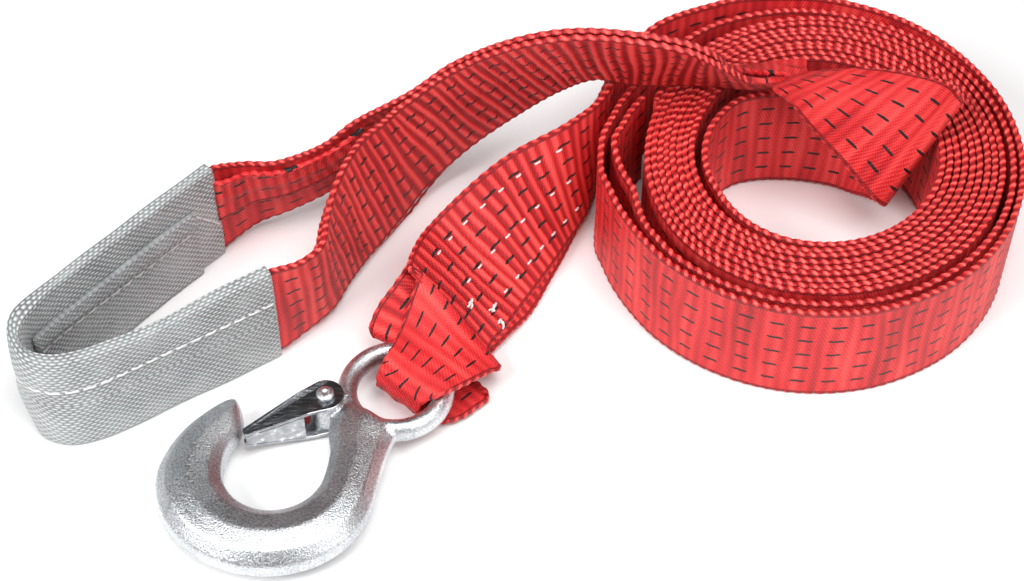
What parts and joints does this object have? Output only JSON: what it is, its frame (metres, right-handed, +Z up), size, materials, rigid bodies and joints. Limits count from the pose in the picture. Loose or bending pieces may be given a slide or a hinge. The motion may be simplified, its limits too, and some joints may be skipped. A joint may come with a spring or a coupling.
{
  "type": "tow strap",
  "caption": "Coiled flat webbing tow strap with a forged snap hook at one end and a sleeved soft eye at the other, lying ready for use.",
  "frame": {"origin": "on the ground, under the middle of the whole strap's bounding box", "axes": "+Z up, +X from the soft eye towards the roll, +Y away from the hook"},
  "size_m": [0.3954, 0.2612, 0.1002],
  "materials": {
    "webbing_red": "woven polyester webbing with dashed black threads",
    "sleeve_grey": "coarse woven wear sleeve",
    "zinc_steel": "zinc plated over a shot-blasted forging",
    "latch_steel": "polished sheet steel, lightly scratched"
  },
  "bodies": {
    "strap": {"webbing_coil": "webbing_red", "webbing_outer_turn": "webbing_red", "webbing_hook_splice": "webbing_red", "webbing_hook_loop": "webbing_red", "webbing_inner_end": "webbing_red", "webbing_eye_splice": "webbing_red", "webbing_leg_front": "webbing_red", "webbing_leg_back": "webbing_red", "webbing_eye_bight": "webbing_red", "eye_sleeve": "sleeve_grey"},
    "hook": {"hook": "zinc_steel", "latch_rivet": "latch_steel"},
    "latch": {"latch": "latch_steel"}
  },
  "joints": [
    {"name": "hook_swing", "type": "hinge", "parent": "strap", "child": "hook", "pos_m": [-0.05345, -0.04811, 0.01025], "axis": [0, 0, 1], "range_deg": [-6, 70]},
    {"name": "latch_hinge", "type": "hinge", "parent": "hook", "child": "latch", "pos_m": [-0.07995, -0.05611, 0.01025], "axis": [0, 0, 1], "range_deg": [0, 38], "stiffness_Nm_per_rad": 0.03, "springref_deg": -28.65}
  ]
}
